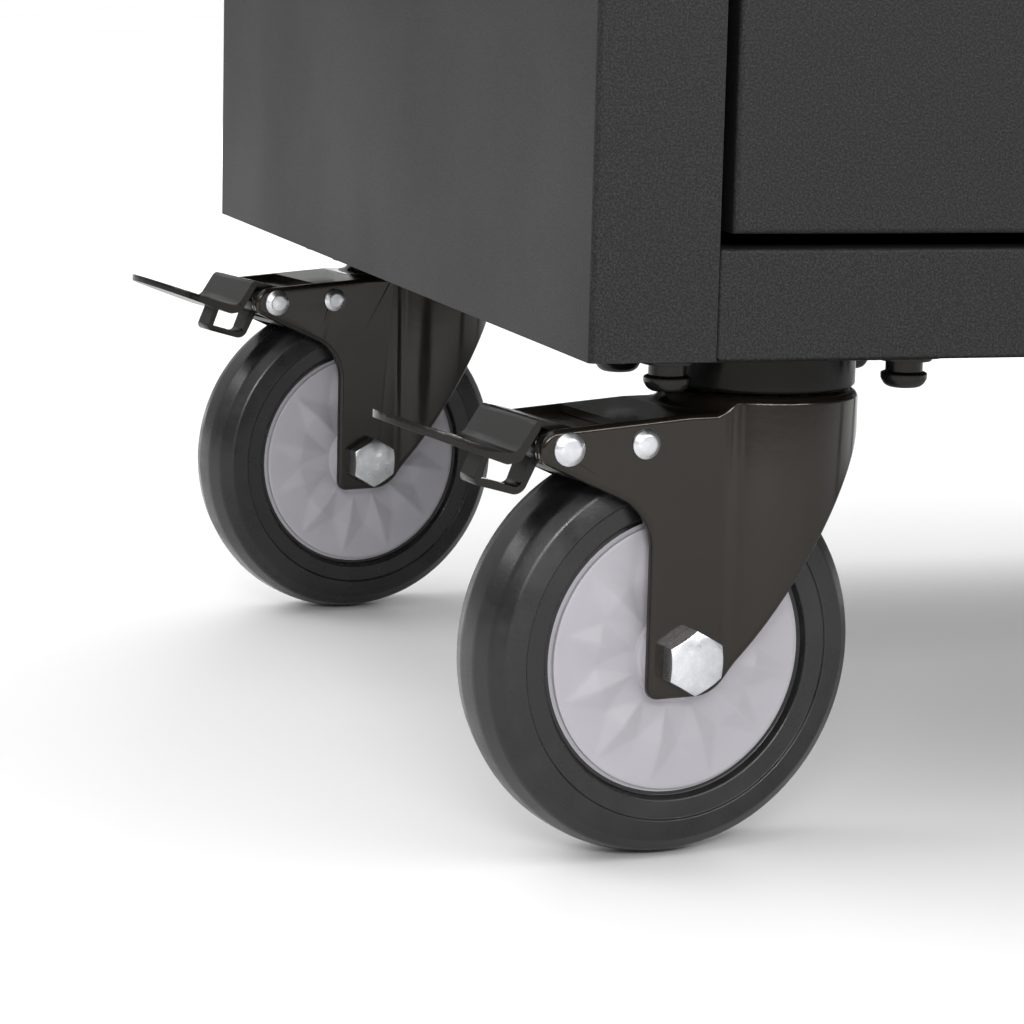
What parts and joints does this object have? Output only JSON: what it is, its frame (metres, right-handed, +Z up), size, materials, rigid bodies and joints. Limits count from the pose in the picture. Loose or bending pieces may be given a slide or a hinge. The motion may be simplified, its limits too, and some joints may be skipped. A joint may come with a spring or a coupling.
{
  "type": "rolling tool chest",
  "caption": "Steel rolling tool chest with sliding drawers, a top tray, a central lock, a side push handle, two locking swivel casters and two rigid casters.",
  "frame": {"origin": "on the floor, at the middle of the chest's outline seen from above, handle and drawer pulls included", "axes": "+Z up, -Y towards the drawer fronts, -X towards the push handle and the swivel casters"},
  "size_m": [0.752, 0.502, 0.89],
  "materials": {
    "black_hardware": "black oxide",
    "chrome": "polished nickel plate",
    "core_grey": "moulded grey polypropylene",
    "gloss_black": "gloss black paint on pressed steel",
    "liner_rubber": "ribbed mat",
    "powder_box": "smooth powder coat",
    "powder_charcoal": "fine textured powder coat, satin",
    "pull_aluminium": "anodised, brushed along its length",
    "tyre_rubber": "moulded rubber, satin",
    "zinc": "bright zinc plate"
  },
  "bodies": {
    "cabinet": {"left_side_panel": "powder_charcoal", "right_side_panel": "powder_charcoal", "back_panel": "powder_charcoal", "base_pan": "powder_charcoal", "caster_channels": "zinc", "bottom_rail": "powder_charcoal", "top_rail": "powder_charcoal", "top_tray": "powder_charcoal", "tray_liner": "liner_rubber", "side_handle": "gloss_black", "lock_housing": "chrome", "slide_cabinet_members": "zinc", "caster_bolts": "black_hardware", "swivel_top_plates": "gloss_black", "swivel_balls": "zinc", "kingpins": "zinc", "rigid_forks": "gloss_black", "rigid_axles": "zinc"},
    "drawer_1": {"drawer_1_front": "powder_charcoal", "drawer_1_box": "powder_box", "drawer_1_pull": "pull_aluminium", "drawer_1_slide_members": "zinc"},
    "drawer_2": {"drawer_2_front": "powder_charcoal", "drawer_2_box": "powder_box", "drawer_2_pull": "pull_aluminium", "drawer_2_slide_members": "zinc"},
    "drawer_3": {"drawer_3_front": "powder_charcoal", "drawer_3_box": "powder_box", "drawer_3_pull": "pull_aluminium", "drawer_3_slide_members": "zinc"},
    "drawer_4": {"drawer_4_front": "powder_charcoal", "drawer_4_box": "powder_box", "drawer_4_pull": "pull_aluminium", "drawer_4_slide_members": "zinc"},
    "drawer_5": {"drawer_5_front": "powder_charcoal", "drawer_5_box": "powder_box", "drawer_5_pull": "pull_aluminium", "drawer_5_slide_members": "zinc"},
    "lock_barrel": {"lock_barrel": "chrome"},
    "lock_bar": {"lock_bar": "zinc"},
    "front_left_swivel": {"front_left_fork": "gloss_black", "front_left_axle": "zinc", "front_left_brake_bracket": "gloss_black", "front_left_brake_rivets": "zinc"},
    "front_left_wheel": {"front_left_tyre": "tyre_rubber", "front_left_wheel_core": "core_grey"},
    "front_left_pedal": {"front_left_brake_pedal": "black_hardware"},
    "front_left_shoe": {"front_left_brake_shoe": "black_hardware"},
    "rear_left_swivel": {"rear_left_fork": "gloss_black", "rear_left_axle": "zinc", "rear_left_brake_bracket": "gloss_black", "rear_left_brake_rivets": "zinc"},
    "rear_left_wheel": {"rear_left_tyre": "tyre_rubber", "rear_left_wheel_core": "core_grey"},
    "rear_left_pedal": {"rear_left_brake_pedal": "black_hardware"},
    "rear_left_shoe": {"rear_left_brake_shoe": "black_hardware"},
    "front_right_wheel": {"front_right_tyre": "tyre_rubber", "front_right_wheel_core": "core_grey"},
    "rear_right_wheel": {"rear_right_tyre": "tyre_rubber", "rear_right_wheel_core": "core_grey"}
  },
  "joints": [
    {"name": "drawer_1_slide", "type": "slide", "parent": "cabinet", "child": "drawer_1", "axis": [0, -1, 0], "range_m": [0, 0.33]},
    {"name": "drawer_2_slide", "type": "slide", "parent": "cabinet", "child": "drawer_2", "axis": [0, -1, 0], "range_m": [0, 0.33]},
    {"name": "drawer_3_slide", "type": "slide", "parent": "cabinet", "child": "drawer_3", "axis": [0, -1, 0], "range_m": [0, 0.33]},
    {"name": "drawer_4_slide", "type": "slide", "parent": "cabinet", "child": "drawer_4", "axis": [0, -1, 0], "range_m": [0, 0.33]},
    {"name": "drawer_5_slide", "type": "slide", "parent": "cabinet", "child": "drawer_5", "axis": [0, -1, 0], "range_m": [0, 0.33]},
    {"name": "lock_turn", "type": "hinge", "parent": "cabinet", "child": "lock_barrel", "pos_m": [0.357, -0.237, 0.841], "axis": [0, 1, 0], "range_deg": [0, 90]},
    {"name": "lock_bar_lift", "type": "slide", "parent": "cabinet", "child": "lock_bar", "axis": [0, 0, 1], "range_m": [0, 0.0099]},
    {"name": "front_left_swivel_turn", "type": "hinge", "parent": "cabinet", "child": "front_left_swivel", "pos_m": [-0.2422, -0.1841, 0.141], "axis": [0, 0, 1], "continuous": true},
    {"name": "front_left_wheel_roll", "type": "hinge", "parent": "front_left_swivel", "child": "front_left_wheel", "pos_m": [-0.27484, -0.18896, 0.0625], "axis": [-0.1473, 0.9891, 0], "continuous": true},
    {"name": "front_left_pedal_press", "type": "hinge", "parent": "front_left_swivel", "child": "front_left_pedal", "pos_m": [-0.31569, -0.19504, 0.1275], "axis": [0.1473, -0.9891, 0], "range_deg": [0, 18]},
    {"name": "front_left_shoe_close", "type": "hinge", "parent": "front_left_swivel", "child": "front_left_shoe", "pos_m": [-0.29106, -0.19138, 0.128], "axis": [0.1473, -0.9891, 0], "range_deg": [0, 4.5]},
    {"name": "rear_left_swivel_turn", "type": "hinge", "parent": "cabinet", "child": "rear_left_swivel", "pos_m": [-0.2422, 0.1981, 0.141], "axis": [0, 0, 1], "continuous": true},
    {"name": "rear_left_wheel_roll", "type": "hinge", "parent": "rear_left_swivel", "child": "rear_left_wheel", "pos_m": [-0.27456, 0.19165, 0.0625], "axis": [-0.1956, 0.9807, 0], "continuous": true},
    {"name": "rear_left_pedal_press", "type": "hinge", "parent": "rear_left_swivel", "child": "rear_left_pedal", "pos_m": [-0.31506, 0.18357, 0.1275], "axis": [0.1956, -0.9807, 0], "range_deg": [0, 18]},
    {"name": "rear_left_shoe_close", "type": "hinge", "parent": "rear_left_swivel", "child": "rear_left_shoe", "pos_m": [-0.29065, 0.18844, 0.128], "axis": [0.1956, -0.9807, 0], "range_deg": [0, 4.5]},
    {"name": "front_right_wheel_roll", "type": "hinge", "parent": "cabinet", "child": "front_right_wheel", "pos_m": [0.3042, -0.1841, 0.0625], "axis": [0, 1, 0], "continuous": true},
    {"name": "rear_right_wheel_roll", "type": "hinge", "parent": "cabinet", "child": "rear_right_wheel", "pos_m": [0.3042, 0.1981, 0.0625], "axis": [0, 1, 0], "continuous": true}
  ],
  "couplings": [
    {"joint": "lock_turn", "follows": "lock_bar_lift", "rad_per_m": 158.67},
    {"joint": "front_left_shoe_close", "follows": "front_left_pedal_press", "ratio": 0.25},
    {"joint": "rear_left_shoe_close", "follows": "rear_left_pedal_press", "ratio": 0.25}
  ]
}
